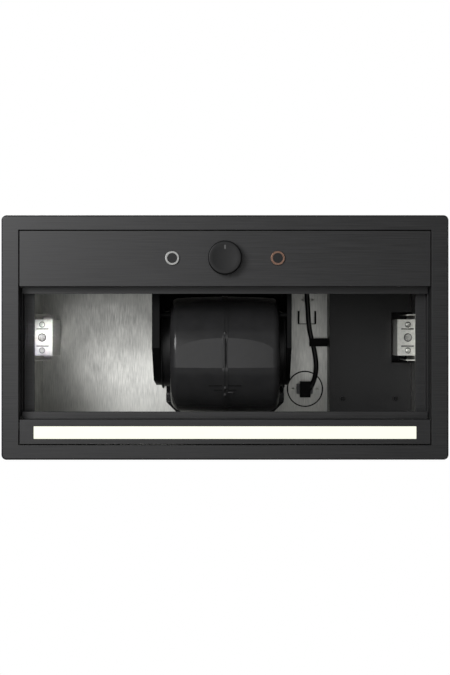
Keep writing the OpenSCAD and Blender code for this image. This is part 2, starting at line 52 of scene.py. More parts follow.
# ---------------------------------------------------------------- places, read from the frame
def corners(node):
    lo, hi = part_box(node)
    return lo.copy(), hi.copy()


def middle(node):
    lo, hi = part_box(node)
    return (lo + hi) / 2


FRAME_LO, FRAME_HI = corners("face_frame")
FACE_Z = FRAME_LO.z
JOINT = {j["name"]: j for j in frame["joints"]}
BLOWER_AXIS = Vector(JOINT["impeller_spin"]["pos_m"])


# ---------------------------------------------------------------- colour and material helpers
def paint(code):
    """An sRGB hex colour as linear red, green, blue and alpha."""
    parts = [int(code[i:i + 2], 16) / 255 for i in (1, 3, 5)]
    return [c / 12.92 if c <= 0.04045 else ((c + 0.055) / 1.055) ** 2.4 for c in parts] + [1.0]


def add(tree, kind, settings=None, links=None):
    """Adds a node, sets its properties or sockets, and links sockets that come from other nodes."""
    made = tree.nodes.new(kind)
    for key, value in (settings or {}).items():
        if isinstance(key, str) and hasattr(made, key):
            setattr(made, key, value)
        else:
            made.inputs[key].default_value = value
    for key, source in (links or {}).items():
        tree.links.new(source, made.inputs[key])
    return made


def new_finish(name, metallic=0.0, roughness=0.5, **sockets):
    """A material of one Principled shader, whose even values sit on its own sockets."""
    material = bpy.data.materials.new(name)
    material.use_nodes = True
    tree = material.node_tree
    tree.nodes.clear()
    shader = add(tree, "ShaderNodeBsdfPrincipled", {"Metallic": metallic, "Roughness": roughness, **sockets})
    out = add(tree, "ShaderNodeOutputMaterial")
    tree.links.new(shader.outputs[0], out.inputs["Surface"])
    return material, tree, shader


def grain(tree, size_mm, detail=4.0):
    """Noise whose cells have the given size along X, Y and Z, in millimetres."""
    place = add(tree, "ShaderNodeTexCoord")
    scale = [1.0 / (s * MM) for s in size_mm]
    fit = add(tree, "ShaderNodeMapping", {"Scale": scale}, {"Vector": place.outputs["Object"]})
    noise = add(tree, "ShaderNodeTexNoise", {"Scale": 1.0, "Detail": detail, "Roughness": 0.6},
                {"Vector": fit.outputs[0]})
    return noise.outputs["Fac"]


def tones(tree, factor, dark, light, low=0.3, high=0.7):
    """A ramp from a dark to a light tone over the given stretch of a pattern."""
    ramp = add(tree, "ShaderNodeValToRGB", {}, {"Fac": factor})
    ramp.color_ramp.elements[0].position = low
    ramp.color_ramp.elements[0].color = paint(dark)
    ramp.color_ramp.elements[1].position = high
    ramp.color_ramp.elements[1].color = paint(light)
    return ramp.outputs["Color"]


def spread(tree, factor, low, high):
    """Turns a pattern into a value between low and high."""
    return add(tree, "ShaderNodeMapRange", {"From Min": 0.3, "From Max": 0.7, "To Min": low, "To Max": high},
               {"Value": factor}).outputs["Result"]


def relief(tree, shader, factor, height_mm, strength):
    """Raises a pattern by a height in millimetres."""
    bump = add(tree, "ShaderNodeBump", {"Distance": height_mm * MM, "Strength": strength}, {"Height": factor})
    tree.links.new(bump.outputs[0], shader.inputs["Normal"])


def dress(tree, shader, colour, roughness=None):
    """Gives a shader its patterned colour and, where it has one, its patterned roughness."""
    tree.links.new(colour, shader.inputs["Base Color"])
    if roughness is not None:
        tree.links.new(roughness, shader.inputs["Roughness"])


# ---------------------------------------------------------------- finishes
def black_brushed_steel():
    # stainless sheet brushed, then coated in translucent black: fine hairlines that catch the light
    shine = {"Specular IOR Level": 0.5}
    material, tree, shader = new_finish("brushed_black_steel_across", 0.35, 0.42, **shine)
    hairline = grain(tree, (60.0, 0.9, 0.9), 5.0)
    dress(tree, shader, tones(tree, hairline, "#2b2b2c", "#3d3d3e"), spread(tree, hairline, 0.36, 0.50))
    relief(tree, shader, hairline, 0.05, 0.35)
    return material


def black_sheet_paint():
    # baked black enamel on folded sheet: even satin with a faint orange peel
    material, tree, shader = new_finish("black_enamel_sheet", 0.0, 0.45, **{"Specular IOR Level": 0.4})
    peel = grain(tree, (2.2, 2.2, 2.2), 3.0)
    dress(tree, shader, tones(tree, peel, "#19191a", "#202021"), spread(tree, peel, 0.40, 0.52))
    relief(tree, shader, peel, 0.04, 0.3)
    return material


def brushed_galvanised():
    # zinc-coated sheet with a short vertical brushing and a cloudy crystal pattern under it
    material, tree, shader = new_finish("brushed_galvanised_steel", 1.0, 0.36, Anisotropic=0.55)
    brush = grain(tree, (1.1, 16.0, 12.0), 5.0)
    cloud = grain(tree, (34.0, 46.0, 40.0), 3.0)
    faint = add(tree, "ShaderNodeMath", {"operation": "MULTIPLY", 1: 0.32}, {0: cloud}).outputs[0]
    both = add(tree, "ShaderNodeMath", {"operation": "MULTIPLY_ADD", 1: 0.68}, {0: brush, 2: faint}).outputs[0]
    dress(tree, shader, tones(tree, both, "#c0c1be", "#e9e9e4"), spread(tree, both, 0.54, 0.37))
    relief(tree, shader, brush, 0.06, 0.45)
    return material


def bright_zinc():
    # passivated zinc plate: pale, nearly white metal with a soft mottling
    material, tree, shader = new_finish("bright_zinc_plate", 0.7, 0.38)
    mottle = grain(tree, (3.5, 3.5, 3.5), 3.0)
    dress(tree, shader, tones(tree, mottle, "#dfe0da", "#f4f4ee"), spread(tree, mottle, 0.44, 0.32))
    relief(tree, shader, mottle, 0.03, 0.25)
    return material


def spun_black():
    # aluminium knob, turned and anodised black: fine rings round its axis
    material, tree, shader = new_finish("spun_black_anodised", 0.35, 0.4)
    place = add(tree, "ShaderNodeTexCoord")
    axis = Vector(JOINT["knob_turn"]["pos_m"])
    centred = add(tree, "ShaderNodeMapping", {"Location": -axis}, {"Vector": place.outputs["Object"]})
    rings = add(tree, "ShaderNodeTexWave", {
        "wave_type": "RINGS", "rings_direction": "Z", "Scale": 160.0, "Distortion": 1.2, "Detail": 2.0,
    }, {"Vector": centred.outputs[0]})
    dress(tree, shader, tones(tree, rings.outputs["Fac"], "#161617", "#1e1e1f", 0.0, 1.0),
          add(tree, "ShaderNodeMapRange", {"To Min": 0.34, "To Max": 0.46},
              {"Value": rings.outputs["Fac"]}).outputs["Result"])
    relief(tree, shader, rings.outputs["Fac"], 0.02, 0.3)
    return material


def polished_ring(name, dark, light):
    # plated ring with a soft polish: blurred reflections and faint polishing swirls
    material, tree, shader = new_finish(name, 1.0, 0.3)
    swirl = grain(tree, (1.2, 1.2, 1.2), 2.0)
    dress(tree, shader, tones(tree, swirl, dark, light), spread(tree, swirl, 0.26, 0.36))
    return material


def glossy_abs():
    # moulded black ABS: a soft gloss with a slight waviness
    shine = {"Specular IOR Level": 0.3, "IOR": 1.54}
    material, tree, shader = new_finish("glossy_black_abs", 0.0, 0.3, **shine)
    wave = grain(tree, (26.0, 26.0, 26.0), 2.0)
    dress(tree, shader, tones(tree, wave, "#303031", "#363637"), spread(tree, wave, 0.17, 0.23))
    relief(tree, shader, wave, 0.10, 0.35)
    return material


def satin_plastic(name, dark, light, roughness, shine=0.5):
    # moulded plastic with a fine spark-eroded grain
    material, tree, shader = new_finish(name, 0.0, roughness, **{"IOR": 1.5, "Specular IOR Level": shine})
    texture = grain(tree, (0.9, 0.9, 0.9), 3.0)
    dress(tree, shader, tones(tree, texture, dark, light),
          spread(tree, texture, roughness - 0.06, roughness + 0.06))
    relief(tree, shader, texture, 0.05, 0.35)
    return material


def frosted_lens():
    # opal acrylic lit from behind: an even, very slightly warm white
    material, tree, shader = new_finish("lit_opal_acrylic", 0.0, 0.4, **{"Emission Strength": 0.9})
    haze = grain(tree, (60.0, 12.0, 12.0), 2.0)
    dress(tree, shader, tones(tree, haze, "#88887e", "#94948a"))
    tree.links.new(tones(tree, haze, "#fcffec", "#ffffee"), shader.inputs["Emission Color"])
    return material


def solder_mask(name, dark, light):
    # lacquered circuit board: glossy lacquer over tracks that show as slightly raised bands
    material, tree, shader = new_finish(name, 0.0, 0.3, IOR=1.5)
    tracks = grain(tree, (9.0, 1.6, 4.0), 1.0)
    dress(tree, shader, tones(tree, tracks, dark, light, 0.46, 0.54))
    relief(tree, shader, tracks, 0.08, 0.4)
    return material


def bare_metal(name, dark, light, size_mm, roughness):
    # machined or extruded bare metal: grain along the way it was cut or drawn
    material, tree, shader = new_finish(name, 1.0, roughness)
    lines = grain(tree, size_mm, 4.0)
    dress(tree, shader, tones(tree, lines, dark, light),
          spread(tree, lines, roughness + 0.06, roughness - 0.06))
    relief(tree, shader, lines, 0.03, 0.3)
    return material


def motor_enamel():
    # sprayed grey enamel on a cast motor shell
    material, tree, shader = new_finish("motor_enamel", 0.0, 0.5)
    peel = grain(tree, (1.6, 1.6, 1.6), 3.0)
    dress(tree, shader, tones(tree, peel, "#54575a", "#646769"), spread(tree, peel, 0.42, 0.58))
    relief(tree, shader, peel, 0.08, 0.5)
    return material


def pvc_sheath():
    # extruded PVC sheath of a lead: satin, with very faint marks along it
    material, tree, shader = new_finish("pvc_lead_sheath", 0.0, 0.38, IOR=1.53)
    scuff = grain(tree, (2.0, 9.0, 9.0), 3.0)
    dress(tree, shader, tones(tree, scuff, "#0e0e0f", "#19191a"), spread(tree, scuff, 0.32, 0.46))
    relief(tree, shader, scuff, 0.05, 0.3)
    return material


FINISH = {
    "brushed_black_x": black_brushed_steel(),
    "black_paint": black_sheet_paint(),
    "galvanised": brushed_galvanised(),
    "zinc": bright_zinc(),
    "knob": spun_black(),
    "silver": polished_ring("polished_nickel_ring", "#8a8a8a", "#a6a6a4"),
    "copper": polished_ring("polished_copper_ring", "#7a5f50", "#94776a"),
    "gloss_abs": glossy_abs(),
    "satin_black": satin_plastic("satin_black_pp", "#161617", "#1f1f20", 0.42, 0.35),
    # matt black plastic, which also colours the strips of painted shade in the slots
    "deep_black": satin_plastic("matt_black_pp_and_slot_shade", "#0b0b0c", "#121213", 0.6, 0.15),
    "white_nylon": satin_plastic("white_nylon", "#d9d8d0", "#e6e5dd", 0.45),
    "grey_nylon": satin_plastic("grey_nylon", "#7c7e80", "#8d8f91", 0.45),
    "index_ink": satin_plastic("grey_index_ink", "#5c5c5c", "#6c6c6c", 0.5),
    "lens": frosted_lens(),
    "green_board": solder_mask("green_solder_mask", "#123d24", "#1f5c38"),
    "white_board": solder_mask("white_solder_mask", "#d6d8d0", "#e8eae2"),
    "aluminium": bare_metal("extruded_aluminium", "#a9abad", "#c6c8ca", (40.0, 0.8, 0.8), 0.34),
    "black_zinc": bare_metal("black_zinc_screw", "#232324", "#39393a", (0.7, 0.7, 0.7), 0.34),
    "turned_steel": bare_metal("turned_steel", "#b4b4b2", "#d8d8d4", (0.7, 0.7, 0.7), 0.28),
    "enamel": motor_enamel(),
    "sheath": pvc_sheath(),
}

NODE_FINISH = {
    "brushed_black_x": ["face_frame", "control_panel", "lamp_panel", "filter_rail_left", "filter_rail_right"],
    "black_paint": ["electronics_cover"],
    "galvanised": ["housing_front", "housing_rear", "housing_left", "housing_right", "housing_top",
                   "outlet_adapter", "socket_plate"],
    "zinc": ["rivets", "clamp_bracket_left", "clamp_bracket_right", "clamp_foot_left", "clamp_foot_right"],
    "knob": ["control_knob"],
    "index_ink": ["knob_index"],
    "silver": ["light_button_ring"],
    "copper": ["boost_button_ring"],
    "gloss_abs": ["volute_left", "volute_right"],
    "satin_black": ["inlet_ring_left", "inlet_ring_right", "impeller", "impeller_rings", "motor_bracket",
                    "light_button", "boost_button", "duct_collar", "flap_front", "flap_rear", "mains_gland",
                    "control_box", "light_switch", "boost_switch"],
    "deep_black": ["blower_cheek_left", "blower_cheek_right", "blower_foot", "connector", "cable_clip"],
    "white_nylon": ["terminal_block"],
    "grey_nylon": ["socket"],
    "lens": ["lamp_lens"],
    "green_board": ["control_board", "power_board"],
    "white_board": ["led_board"],
    "aluminium": ["lamp_channel"],
    "turned_steel": ["switch_shaft", "rotary_switch", "panel_nuts", "clamp_screw_left", "clamp_screw_right",
                     "motor_shaft", "flap_pin"],
    "black_zinc": ["screws"],
    "enamel": ["motor"],
    "sheath": ["blower_lead"],
}
for finish_name, members in NODE_FINISH.items():
    for member in members:
        slots = frame["nodes"][member].data.materials
        slots.clear()
        slots.append(FINISH[finish_name])

# ---------------------------------------------------------------- camera, light and floor
CAMERA_DISTANCE = 1.5
TALL_TO_WIDE = 1.5
SENSOR = 36.0
# the view is a hair wider than the flange
VIEW_W = (FRAME_HI.x - FRAME_LO.x) * 1.005
camera = bpy.data.objects.new("camera", bpy.data.cameras.new("camera"))
bpy.context.scene.collection.objects.link(camera)
camera.location = (0.0, 0.0, FACE_Z - CAMERA_DISTANCE)
camera.rotation_euler = (math.pi, 0.0, 0.0)
camera.data.sensor_width = SENSOR
camera.data.lens = SENSOR * CAMERA_DISTANCE / (VIEW_W * TALL_TO_WIDE)
camera.data.clip_end = 50.0
bpy.context.scene.camera = camera
bpy.context.scene.view_settings.view_transform = "Standard"


def softbox(name, place, target, width, height, watts):
    """A studio area light that faces its target and isn't seen itself."""
    light = bpy.data.lights.new(name, "AREA")
    light.shape = "RECTANGLE"
    light.size, light.size_y, light.energy = width, height, watts
    lamp = bpy.data.objects.new(name, light)
    bpy.context.scene.collection.objects.link(lamp)
    lamp.location = place
    lamp.rotation_euler = (Vector(target) - Vector(place)).to_track_quat("-Z", "Y").to_euler()
    lamp.visible_camera = False
    return lamp


# from below: the key from the front left, a broad fill from straight below, and a spot on the left clamp
softbox("key_softbox", (-1.0, -0.6, -1.55), (-0.25, -0.05, 0.0), 0.82, 0.82, 20.0)
softbox("low_softbox", (-0.33, 0.06, -2.2), (-0.1, 0.0, 0.2), 1.2, 0.9, 3.9)
clamp_light = softbox("left_bracket_softbox", (0.1, 0.0, -1.4), (-0.233, 0.0, 0.122), 0.02, 0.02, 0.005)
clamp_light.data.spread = math.radians(1.9)
# from above, for the outside of the chamber and the duct
softbox("overhead_softbox", (-1.2, -1.6, 2.4), (0.0, 0.0, 0.1), 1.6, 1.6, 60.0)
softbox("rear_softbox", (0.9, 1.7, 1.0), (0.0, 0.0, 0.12), 1.4, 1.4, 26.0)
softbox("side_softbox", (1.9, -0.7, 0.9), (0.0, 0.0, 0.12), 1.2, 1.2, 16.0)

# the air is white to the camera and lights the hood only a little
world = bpy.data.worlds.new("studio")
bpy.context.scene.world = world
world.use_nodes = True
sky = world.node_tree
sky.nodes.clear()
seen = add(sky, "ShaderNodeLightPath")
level = add(sky, "ShaderNodeMapRange", {"To Min": 0.03, "To Max": 1.0},
            {"Value": seen.outputs["Is Camera Ray"]})
air = add(sky, "ShaderNodeBackground", {"Color": (1.0, 1.0, 1.0, 1.0)}, {"Strength": level.outputs["Result"]})
sky.links.new(air.outputs[0], add(sky, "ShaderNodeOutputWorld").inputs["Surface"])

FLOOR_Z = -2.6
bpy.ops.object.select_all(action="DESELECT")
bpy.ops.mesh.primitive_plane_add(size=14.0, location=(0.0, 0.0, FLOOR_Z))
floor = bpy.context.object
floor.name = "floor"
floor_paint, floor_tree, floor_shader = new_finish("pale_floor_paint", 0.0, 0.7)
# a very faint cloudiness, so that the painted floor isn't dead flat
floor_cloud = grain(floor_tree, (400.0, 400.0, 400.0))
dress(floor_tree, floor_shader, tones(floor_tree, floor_cloud, "#e9e9e7", "#efefed"))
floor.data.materials.append(floor_paint)


# ---------------------------------------------------------------- making pieces
NODE_BODY = {n: body for body, members in frame["record"]["behaviour"]["bodies"].items() for n in members}


def done():
    """Leaves the mesh that is open for editing, if one is."""
    if bpy.context.mode != "OBJECT":
        bpy.ops.object.mode_set(mode="OBJECT")


def only(piece):
    """Makes one piece the only one selected."""
    done()
    bpy.ops.object.select_all(action="DESELECT")
    piece.select_set(True)
    bpy.context.view_layer.objects.active = piece


def start(kind, **settings):
    """Adds a primitive with nothing else selected."""
    done()
    bpy.ops.object.select_all(action="DESELECT")
    getattr(bpy.ops.mesh, f"primitive_{kind}_add")(**settings)
    return bpy.context.object


def settle(piece):
    """Puts a piece's place, turn and size into its mesh."""
    only(piece)
    bpy.ops.object.transform_apply(location=True, rotation=True, scale=True)


def modify(piece, kind, **settings):
    """Adds a modifier and applies it."""
    only(piece)
    modifier = piece.modifiers.new(kind, kind)
    for key, value in settings.items():
        setattr(modifier, key, value)
    bpy.ops.object.modifier_apply(modifier=modifier.name)


def tidy_normals(piece):
    """Merges doubled vertices, then turns every face outward."""
    only(piece)
    bpy.ops.object.mode_set(mode="EDIT")
    bpy.ops.mesh.select_all(action="SELECT")
    bpy.ops.mesh.remove_doubles(threshold=0.002 * MM)
    bpy.ops.mesh.normals_make_consistent(inside=False)
    bpy.ops.object.mode_set(mode="OBJECT")


def smooth(piece, angle=35.0):
    """Shades a piece smooth, except over edges sharper than the angle in degrees."""
    only(piece)
    bpy.ops.object.shade_smooth_by_angle(angle=math.radians(angle))


def hand_over(piece, name, finish, body=ROOT, stands_for=()):
    """Names a finished piece, dresses it, and fixes it to its body."""
    piece.name = name
    piece.data.name = name
    piece.data.materials.clear()
    piece.data.materials.append(FINISH[finish])
    if stands_for:
        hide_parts(*stands_for)
    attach(piece, body)


def block(name, lo, hi, edge_mm, finish):
    """A box from corner to corner, in millimetres, with rounded edges."""
    lo, hi = Vector(lo) * MM, Vector(hi) * MM
    piece = start("cube", size=1.0, location=(lo + hi) / 2)
    piece.scale = hi - lo
    settle(piece)
    modify(piece, "BEVEL", width=edge_mm * MM, segments=3, limit_method="NONE")
    smooth(piece)
    hand_over(piece, name, finish)


def softened(node, edge_mm):
    """A copy of a CAD sheet or moulding with its sharp edges broken, which stands for the node."""
    mesh = frame["nodes"][node].data.copy()
    piece = bpy.data.objects.new(node + "_finished", mesh)
    bpy.context.scene.collection.objects.link(piece)
    only(piece)
    bpy.ops.object.mode_set(mode="EDIT")
    bpy.ops.mesh.select_all(action="SELECT")
    bpy.ops.mesh.remove_doubles(threshold=0.002 * MM)
    bpy.ops.mesh.dissolve_limited(angle_limit=math.radians(0.5))
    bpy.ops.object.mode_set(mode="OBJECT")
    modify(piece, "BEVEL", width=edge_mm * MM, segments=2, limit_method="ANGLE",
           angle_limit=math.radians(40.0))
    smooth(piece, 30.0)
    modify(piece, "WEIGHTED_NORMAL", keep_sharp=True)
    finish = next(f for f, members in NODE_FINISH.items() if node in members)
    hand_over(piece, node + "_finished", finish, NODE_BODY[node], [node])


# ---------------------------------------------------------------- sheet metal and mouldings with broken edges
for node_name, edge in {
    "face_frame": 0.5, "control_panel": 0.45, "lamp_panel": 0.45, "filter_rail_left": 0.4,
    "filter_rail_right": 0.4, "clamp_foot_left": 0.4, "clamp_foot_right": 0.4, "electronics_cover": 0.35,
    "blower_cheek_left": 0.6, "blower_cheek_right": 0.6, "blower_foot": 0.8, "cable_clip": 0.8,
    "socket": 0.6, "terminal_block": 0.8,
    "lamp_lens": 0.2, "lamp_channel": 0.3, "control_box": 1.0, "outlet_adapter": 0.6, "mains_gland": 0.5,
    "housing_top": 0.3, "control_knob": 0.5, "motor": 0.8, "rotary_switch": 0.6, "duct_collar": 0.4,
}.items():
    softened(node_name, edge)


# ---------------------------------------------------------------- blower casing
AXIS_Y, AXIS_Z = BLOWER_AXIS.y, BLOWER_AXIS.z
CASING_LO, CASING_HI = corners("volute_left")
CASING_HALF = 68.0 * MM
FILLET = 9.0 * MM
INLET_R = 46.0 * MM
# places on the spiral are angles in degrees: 0 is the front, 90 the bottom and 180 the back
TONGUE_T, BACK_T, STEP_T = -120, 180, 3
FLAT_END_T = 108
FLAT_Z = AXIS_Z - 71.8 * MM
CROWN = 1.6 * MM
CORNER_R = 22.0 * MM
SPARE = 12.0 * MM
WALL = 2.0 * MM
HALF_COLUMNS = 14
FILLET_STEPS = 24
MEAN_R = 70.0 * MM


def edit(piece, action="DESELECT", kind="VERT"):
    """Opens a piece for editing with everything or nothing selected."""
    only(piece)
    bpy.ops.object.mode_set(mode="EDIT")
    bpy.ops.mesh.select_mode(type=kind)
    bpy.ops.mesh.select_all(action=action)


def pick(piece, test):
    """Selects the vertices whose places pass a test, and leaves the piece open for editing."""
    edit(piece)
    done()
    for vertex in piece.data.vertices:
        vertex.select = test(vertex.co)
    bpy.ops.object.mode_set(mode="EDIT")


def pull(x=0.0, z=0.0):
    """Extrudes what is selected, and moves the new part."""
    bpy.ops.mesh.extrude_region_move(TRANSFORM_OT_translate={"value": (x, 0.0, z)})


def spiral_r(t):
    """The casing grows 8 mm in radius with each quarter turn, from the front, down and round to the back."""
    return (66.0 + 8.0 * t / 90.0) * MM


def on_spiral(t, proud=0.0):
    """The place, as Y and Z, at angle t and a height proud of the casing."""
    r = spiral_r(t) + proud
    return AXIS_Y - r * math.cos(math.radians(t)), AXIS_Z - r * math.sin(math.radians(t))


def crossways(width, columns, y, z):
    """A straight row of vertices across the blower, left open for editing and selected."""
    row = start("grid", x_subdivisions=columns, y_subdivisions=1, size=1.0)
    thin = 1.0 * MM
    row.scale = (width, thin, 1.0)
    settle(row)
    pick(row, lambda co: co.y < 0.0)
    bpy.ops.mesh.delete(type="VERT")
    bpy.ops.mesh.select_all(action="SELECT")
    bpy.ops.transform.translate(value=(0.0, y - thin / 2, z))
    return row


def wound(t, step):
    """Carries what is selected one step further round the spiral, by extruding, turning and growing it."""
    pull()
    grow = spiral_r(t + step) / spiral_r(t)
    centre = (0.0, AXIS_Y, AXIS_Z)
    bpy.ops.transform.rotate(value=TURN * math.radians(step), orient_axis="X", center_override=centre)
    bpy.ops.transform.resize(value=(1.0, grow, grow), center_override=centre)


def turning_way():
    """Which way transform.rotate turns here, found on a spare vertex."""
    spare = start("plane", size=0.01, location=(0.0, -0.1, 0.0))
    settle(spare)
    edit(spare, "SELECT")
    bpy.ops.transform.rotate(value=math.radians(90.0), orient_axis="X", center_override=(0.0, 0.0, 0.0))
    done()
    down = sum(v.co.z for v in spare.data.vertices) < 0.0
    bpy.data.objects.remove(spare)
    return 1.0 if down else -1.0


TURN = turning_way()


def flatten(piece, z):
    """Scores a piece along a level line and presses all that is lower flat against that level."""
    bpy.ops.mesh.bisect(plane_co=(0.0, 0.0, z), plane_no=(0.0, 0.0, 1.0))
    pick(piece, lambda co: co.z < z)
    bpy.ops.transform.resize(value=(1.0, 1.0, 0.0), center_override=(0.0, 0.0, z))
    done()


def casing_solid():
    """The closed body: a crowned row wound down the spiral, pressed flat underneath, with rounded sides."""
    y, z = on_spiral(TONGUE_T)
    flat_half = CASING_HALF - FILLET
    body = crossways(2 * flat_half, 2 * HALF_COLUMNS, y, z)
    # the row is crowned once, and keeps its crown until the flat
    inward_y, inward_z = math.cos(math.radians(TONGUE_T)), math.sin(math.radians(TONGUE_T))
    for k in range(1, HALF_COLUMNS + 1):
        x = flat_half * k / HALF_COLUMNS
        pick(body, lambda co: abs(abs(co.x) - x) < 0.2 * MM)
        drop = CROWN * (k / HALF_COLUMNS) ** 2
        bpy.ops.transform.translate(value=(0.0, drop * inward_y, drop * inward_z))
    bpy.ops.mesh.select_all(action="SELECT")
    for t in range(TONGUE_T, BACK_T, STEP_T):
        wound(t, STEP_T)
        if 90 <= t < FLAT_END_T:
            # the crown dies out over the flat, so that the rear of the belly is straight across
            low = on_spiral(t + STEP_T)
            left = 1.0 - STEP_T / (FLAT_END_T - t)
            bpy.ops.transform.resize(value=(1.0, 1.0, left), center_override=(0.0, low[0], low[1]))
    top = CASING_HI.z + SPARE
    pull(z=top - AXIS_Z)
    done()
    pick(body, lambda co: abs(math.hypot(co.y - y, co.z - z)) < CROWN + 0.5 * MM and co.z > AXIS_Z)
    pull(z=top - z)
    edit(body, "SELECT")
    flatten(body, FLAT_Z)
    # each side is drawn in step by step round a quarter circle, then closed
    for side in (-1.0, 1.0):
        pick(body, lambda co: abs(co.x - side * flat_half) < 0.1 * MM)
        reach, drawn = 0.0, 0.0
        for k in range(1, FILLET_STEPS + 1):
            a = math.radians(90.0 * k / FILLET_STEPS)
            next_reach, next_drawn = FILLET * math.sin(a), FILLET * (1.0 - math.cos(a))
            pull(x=side * (next_reach - reach))
            shrink = 1.0 - (next_drawn - drawn) / MEAN_R
            bpy.ops.transform.resize(value=(1.0, shrink, shrink), center_override=(0.0, AXIS_Y, AXIS_Z))
            reach, drawn = next_reach, next_drawn
        bpy.ops.mesh.edge_face_add()
        done()
    edit(body, "SELECT")
    bpy.ops.mesh.bisect(plane_co=(0.0, 0.0, CASING_HI.z), plane_no=(0.0, 0.0, 1.0), clear_outer=True,
                        use_fill=True)
    done()
    tidy_normals(body)
    return body


def cut(piece, tool, operation):
    """Cuts a piece with a second one, which is used up."""
    modify(piece, "BOOLEAN", operation=operation, object=tool, solver="EXACT")
    bpy.data.objects.remove(tool)


def rear_rounded_box():
    """A box round the whole casing, whose two rear upright edges are rounded."""
    lo = Vector((-CASING_HALF - 1 * MM, CASING_LO.y - 5 * MM, CASING_LO.z - 5 * MM))
    hi = Vector((CASING_HALF + 1 * MM, AXIS_Y + spiral_r(BACK_T) + 0.2 * MM, CASING_HI.z + 5 * MM))
    round_box = start("cube", size=1.0, location=(lo + hi) / 2)
    round_box.scale = hi - lo
    settle(round_box)
    edit(round_box, "DESELECT", "EDGE")
    done()
    for edge in round_box.data.edges:
        ends = [round_box.data.vertices[v].co for v in edge.vertices]
        edge.select = all(co.y > hi.y - 0.1 * MM for co in ends) and abs(ends[0].x - ends[1].x) < 1e-6
        edge.select = edge.select and abs(ends[0].z - ends[1].z) > 1e-6
    bpy.ops.object.mode_set(mode="EDIT")
    bpy.ops.mesh.bevel(offset=CORNER_R, segments=24, affect="EDGES")
    done()
    return round_box


def blower_casing():
    """The casing as one shell with rounded rear corners, open at its mouth and bored for both inlets."""
    body = casing_solid()
    cut(body, rear_rounded_box(), "INTERSECT")
    edit(body, "DESELECT", "FACE")
    done()
    for face in body.data.polygons:
        face.select = face.center.z > CASING_HI.z - 0.05 * MM and abs(face.normal.z) > 0.9
    bpy.ops.object.mode_set(mode="EDIT")
    bpy.ops.mesh.delete(type="FACE")
    done()
    modify(body, "SOLIDIFY", thickness=WALL, offset=-1.0)
    bore = start("cylinder", vertices=72, radius=INLET_R, depth=0.3, location=(0.0, AXIS_Y, AXIS_Z),
                 rotation=(0.0, math.radians(90.0), 0.0))
    settle(bore)
    cut(body, bore, "DIFFERENCE")
    smooth(body, 4.5)
    modify(body, "WEIGHTED_NORMAL", keep_sharp=True)
    return body


hand_over(blower_casing(), "blower_casing", "gloss_abs",
          stands_for=["volute_left", "volute_right"])


# ---------------------------------------------------------------- the casing's seam, clips and ribs
SEAM_START, SEAM_END, SEAM_STEP = TONGUE_T + 4, 160, 4


def seam_bead():
    """Half of the raised seam: a small rectangle wound down the same spiral as the casing."""
    wide, thin, deep = 3.0 * MM, 0.05 * MM, 1.4 * MM
    off_centre = 2.1 * MM
    y, z = on_spiral(SEAM_START, 0.1 * MM)
    bead = start("cube", size=1.0, location=(0.0, 0.0, 0.0))
    bead.scale = (wide, thin, deep)
    settle(bead)
    pick(bead, lambda co: co.y > 0.0)
    bpy.ops.mesh.delete(type="VERT")
    bpy.ops.mesh.select_all(action="SELECT")
    lean = TURN * math.radians(SEAM_START + 90)
    bpy.ops.transform.rotate(value=lean, orient_axis="X", center_override=(0.0, 0.0, 0.0))
    bpy.ops.transform.translate(value=(off_centre, y, z))
    for t in range(SEAM_START, SEAM_END, SEAM_STEP):
        wound(t, SEAM_STEP)
    bpy.ops.mesh.select_all(action="SELECT")
    flatten(bead, FLAT_Z - 0.15 * MM)
    for end_y, end_z in ((y, z), on_spiral(SEAM_END)):
        pick(bead, lambda co: math.hypot(co.y - end_y, co.z - end_z) < 1.5 * MM)
        bpy.ops.mesh.edge_face_add()
    tidy_normals(bead)
    smooth(bead, 40.0)
    return bead


bead = seam_bead()
modify(bead, "MIRROR", use_axis=(True, False, False))
tidy_normals(bead)
hand_over(bead, "casing_seam", "gloss_abs")
# over the flat the seam is two low ridges with the joint's dark line between them
flat_z = FLAT_Z / MM
flat_front, flat_rear = AXIS_Y / MM - 13.0, AXIS_Y / MM + 23.0
for ridge_name, x0, x1, proud, ridge_finish in (
        ("seam_ridge_left", -3.4, -0.5, 0.25, "gloss_abs"),
        ("seam_ridge_right", 2.0, 3.6, 0.25, "gloss_abs"),
        ("seam_joint", 0.1, 1.5, 0.15, "deep_black")):
    block(ridge_name, (x0, flat_front, flat_z - proud), (x1, flat_rear, flat_z + 0.6), 0.12, ridge_finish)


def lump(name, lo, hi, round_mm, finish="gloss_abs", taper=0.75):
    """A moulded lump, narrower at its free lower end, its edges rounded."""
    lo, hi = Vector(lo) * MM, Vector(hi) * MM
    piece = start("cube", size=1.0, location=(lo + hi) / 2)
    piece.scale = hi - lo
    settle(piece)
    centre = (lo + hi) / 2
    pick(piece, lambda co: co.z < centre.z)
    bpy.ops.transform.resize(value=(taper, taper, 1.0), center_override=(centre.x, centre.y, lo.z))
    done()
    modify(piece, "BEVEL", width=round_mm * MM, segments=3, limit_method="NONE")
    smooth(piece)
    hand_over(piece, name, finish)


